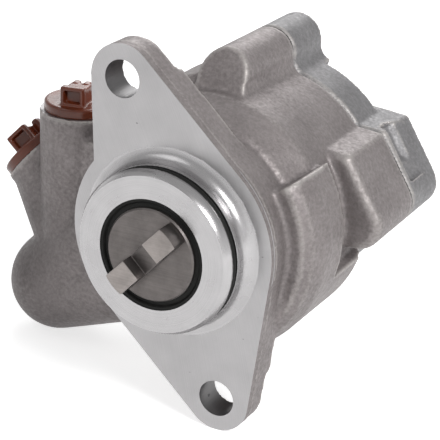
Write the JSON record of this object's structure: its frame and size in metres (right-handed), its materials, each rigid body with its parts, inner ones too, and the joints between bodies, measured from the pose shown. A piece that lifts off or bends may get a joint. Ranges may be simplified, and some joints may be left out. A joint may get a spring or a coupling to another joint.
{
  "type": "power steering pump",
  "caption": "Engine-driven vane pump with a cast housing, rhombic flange, sealed spigot, tang shaft, bolted rear cover and two plugged oil ports.",
  "frame": {"origin": "centre of the spigot, on the mounting face of the flange", "axes": "-Y along the shaft toward the drive tang, +Z along the pressure port's axis, +X to the right seen from the drive end"},
  "size_m": [0.1432, 0.1086, 0.1224],
  "materials": {
    "cast_housing": "as cast, machined on the flange, spigot and port faces",
    "cast_cover": "as cast, fine blasted",
    "zinc_screws": "zinc plated",
    "ground_steel": "ground",
    "hardened_steel": "lapped",
    "spring_steel": "drawn wire and rolled strip",
    "bush_bronze": "sintered bronze",
    "black_rubber": "moulded",
    "brown_plastic": "moulded"
  },
  "bodies": {
    "casing": {"pump_housing": "cast_housing", "rear_cover": "cast_cover", "cover_screws": "zinc_screws", "cover_seal_ring": "black_rubber", "spigot_seal_ring": "black_rubber", "shaft_seal": "black_rubber", "seal_garter_spring": "spring_steel", "front_bush": "bush_bronze", "rear_bush": "bush_bronze", "cam_ring": "hardened_steel", "front_side_plate": "hardened_steel", "rear_pressure_plate": "hardened_steel", "dowel_pins": "ground_steel", "plate_spring_washer": "spring_steel", "valve_spring": "spring_steel", "valve_stop_ring": "spring_steel", "pressure_port_plug": "brown_plastic", "suction_port_plug": "brown_plastic"},
    "shaft": {"drive_shaft": "ground_steel", "rotor": "ground_steel", "rotor_retaining_ring": "spring_steel"},
    "spool": {"valve_spool": "ground_steel", "relief_seat": "ground_steel", "relief_spring": "spring_steel"},
    "relief": {"relief_ball": "ground_steel", "relief_guide": "ground_steel"},
    "vane_1": {"vane_1": "hardened_steel"},
    "vane_2": {"vane_2": "hardened_steel"},
    "vane_3": {"vane_3": "hardened_steel"},
    "vane_4": {"vane_4": "hardened_steel"},
    "vane_5": {"vane_5": "hardened_steel"},
    "vane_6": {"vane_6": "hardened_steel"},
    "vane_7": {"vane_7": "hardened_steel"},
    "vane_8": {"vane_8": "hardened_steel"},
    "vane_9": {"vane_9": "hardened_steel"},
    "vane_10": {"vane_10": "hardened_steel"}
  },
  "joints": [
    {"name": "shaft_turn", "type": "hinge", "parent": "casing", "child": "shaft", "pos_m": [0, 0, 0], "axis": [0, 1, 0], "continuous": true},
    {"name": "spool_slide", "type": "slide", "parent": "casing", "child": "spool", "axis": [0, 0, -1], "range_m": [0, 0.01], "stiffness_N_per_m": 6000, "springref_m": -0.003, "deforming": ["valve_spring"]},
    {"name": "relief_lift", "type": "slide", "parent": "spool", "child": "relief", "axis": [0, 0, 1], "range_m": [0, 0.001], "stiffness_N_per_m": 8000, "springref_m": -0.001, "deforming": ["relief_spring"]},
    {"name": "vane_1_slide", "type": "slide", "parent": "shaft", "child": "vane_1", "axis": [0.7314, 0, 0.682], "range_m": [0, 0.00076]},
    {"name": "vane_2_slide", "type": "slide", "parent": "shaft", "child": "vane_2", "axis": [0.1908, 0, 0.9816], "range_m": [0, 0.003]},
    {"name": "vane_3_slide", "type": "slide", "parent": "shaft", "child": "vane_3", "axis": [-0.4226, 0, 0.9063], "range_m": [0, 0.00438]},
    {"name": "vane_4_slide", "type": "slide", "parent": "shaft", "child": "vane_4", "axis": [-0.8746, 0, 0.4848], "range_m": [0, 0.003]},
    {"name": "vane_5_slide", "type": "slide", "parent": "shaft", "child": "vane_5", "axis": [-0.9925, 0, -0.1219], "range_m": [0, 0.00076]},
    {"name": "vane_6_slide", "type": "slide", "parent": "shaft", "child": "vane_6", "axis": [-0.7314, 0, -0.682], "range_m": [0, 0.00076]},
    {"name": "vane_7_slide", "type": "slide", "parent": "shaft", "child": "vane_7", "axis": [-0.1908, 0, -0.9816], "range_m": [0, 0.003]},
    {"name": "vane_8_slide", "type": "slide", "parent": "shaft", "child": "vane_8", "axis": [0.4226, 0, -0.9063], "range_m": [0, 0.00438]},
    {"name": "vane_9_slide", "type": "slide", "parent": "shaft", "child": "vane_9", "axis": [0.8746, 0, -0.4848], "range_m": [0, 0.003]},
    {"name": "vane_10_slide", "type": "slide", "parent": "shaft", "child": "vane_10", "axis": [0.9925, 0, 0.1219], "range_m": [0, 0.00076]}
  ]
}
